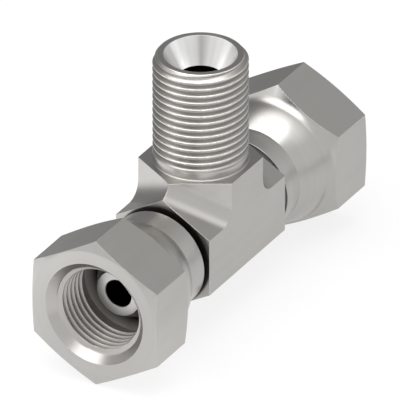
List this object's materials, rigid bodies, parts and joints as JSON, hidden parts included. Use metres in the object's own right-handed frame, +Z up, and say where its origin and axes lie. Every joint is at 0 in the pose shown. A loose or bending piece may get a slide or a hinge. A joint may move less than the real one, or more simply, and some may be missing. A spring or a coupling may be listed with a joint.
{
  "type": "branch tee adapter with swivel nuts",
  "caption": "T-shaped steel pipe adapter: crossed hexagonal body, threaded male branch with a cone seat, and a free-turning threaded nut over a coned nose at each end of the run.",
  "frame": {"origin": "where the centrelines of the run and the branch cross", "axes": "+Y along the run towards the rear nut, +Z up the branch, +X out of a wrench flat of the body"},
  "size_m": [0.0246, 0.0732, 0.0477],
  "materials": {
    "body_steel": "fine-turned plated steel",
    "nut_steel": "fine-turned plated steel",
    "wire_steel": "drawn spring wire"
  },
  "bodies": {
    "tee": {"tee_body": "body_steel", "front_retaining_wire": "wire_steel", "rear_retaining_wire": "wire_steel"},
    "front_nut": {"front_swivel_nut": "nut_steel"},
    "rear_nut": {"rear_swivel_nut": "nut_steel"}
  },
  "joints": [
    {"name": "front_nut_swivel", "type": "hinge", "parent": "tee", "child": "front_nut", "pos_m": [0, -0.02545, 0], "axis": [0, -1, 0], "continuous": true},
    {"name": "rear_nut_swivel", "type": "hinge", "parent": "tee", "child": "rear_nut", "pos_m": [0, 0.02545, 0], "axis": [0, 1, 0], "continuous": true}
  ]
}
